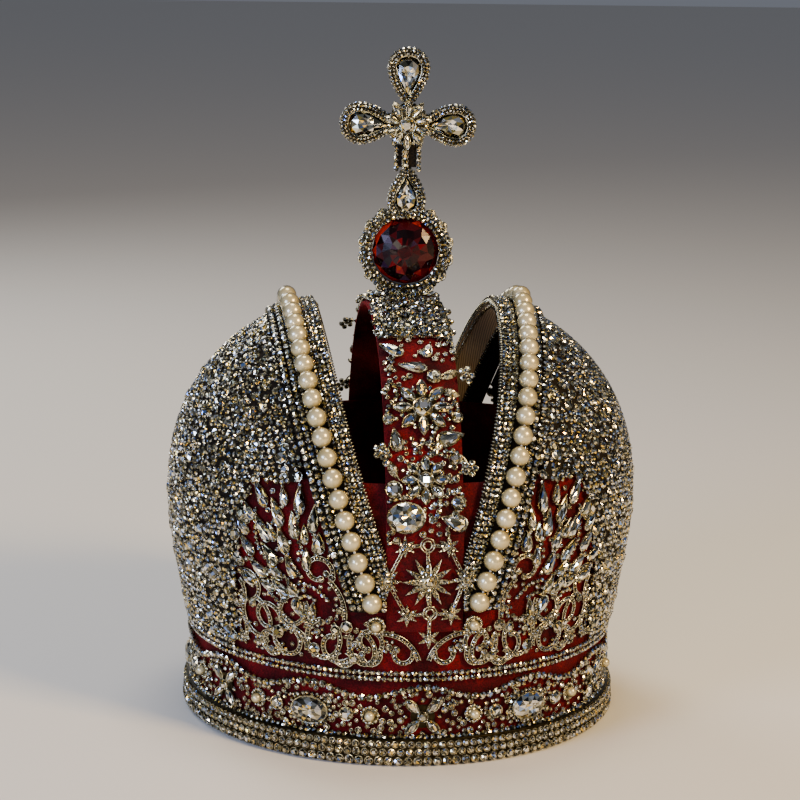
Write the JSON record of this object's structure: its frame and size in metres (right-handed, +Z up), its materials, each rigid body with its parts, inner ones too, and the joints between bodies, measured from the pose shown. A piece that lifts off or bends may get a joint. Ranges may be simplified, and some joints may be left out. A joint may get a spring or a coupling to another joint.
{
  "type": "bridal crown",
  "caption": "Tall closed wedding crown of two stone-set half shells with pearl rims, a velvet arch between them, a red stone and a small cross on top",
  "frame": {"origin": "centre of the hoop's underside, on the surface that the crown stands on", "axes": "+Z up to the cross, front towards -Y, +X to the right as seen from the front"},
  "size_m": [0.215, 0.2048, 0.3],
  "materials": {
    "velvet": "deep red pile velvet",
    "silver": "rhodium-plated cup settings and wire, polished",
    "crystal": "faceted clear glass with a foiled back",
    "nacre": "cream pearl lustre",
    "ruby": "faceted red glass",
    "thread": "twisted nylon thread",
    "lining": "tan cotton lining"
  },
  "bodies": {
    "root": {"velvet_wall": "velvet", "base_hoop": "silver", "upper_chain": "silver", "wave_chain": "silver", "left_shell": "silver", "right_shell": "silver", "left_rim": "silver", "right_rim": "silver", "left_pearls": "nacre", "right_pearls": "nacre", "left_thread": "thread", "right_thread": "thread", "arch": "velvet", "front_collar": "silver", "back_collar": "silver", "ruby_setting": "silver", "ruby": "ruby", "cross_frame": "silver", "top_pear": "crystal", "left_pear": "crystal", "right_pear": "crystal", "foot_pear": "crystal", "front_cross_flower": "crystal", "back_cross_flower": "crystal", "front_upper_flower": "crystal", "back_upper_flower": "crystal", "front_lower_flower": "crystal", "back_lower_flower": "crystal", "front_oval": "crystal", "back_oval": "crystal", "front_drops": "crystal", "back_drops": "crystal", "front_leaves": "silver", "back_leaves": "silver", "front_beads": "crystal", "back_beads": "crystal", "front_rosette": "silver", "back_rosette": "silver", "front_left_scrolls": "silver", "front_right_scrolls": "silver", "back_left_scrolls": "silver", "back_right_scrolls": "silver", "front_left_spray": "crystal", "front_right_spray": "crystal", "back_left_spray": "crystal", "back_right_spray": "crystal", "band_oval_1": "crystal", "band_oval_2": "crystal", "band_oval_3": "crystal", "band_oval_4": "crystal", "band_oval_5": "crystal", "band_oval_6": "crystal", "band_navettes": "crystal", "band_pearl_flowers": "crystal", "band_rounds": "crystal", "foot_flowers": "silver"}
  },
  "joints": []
}
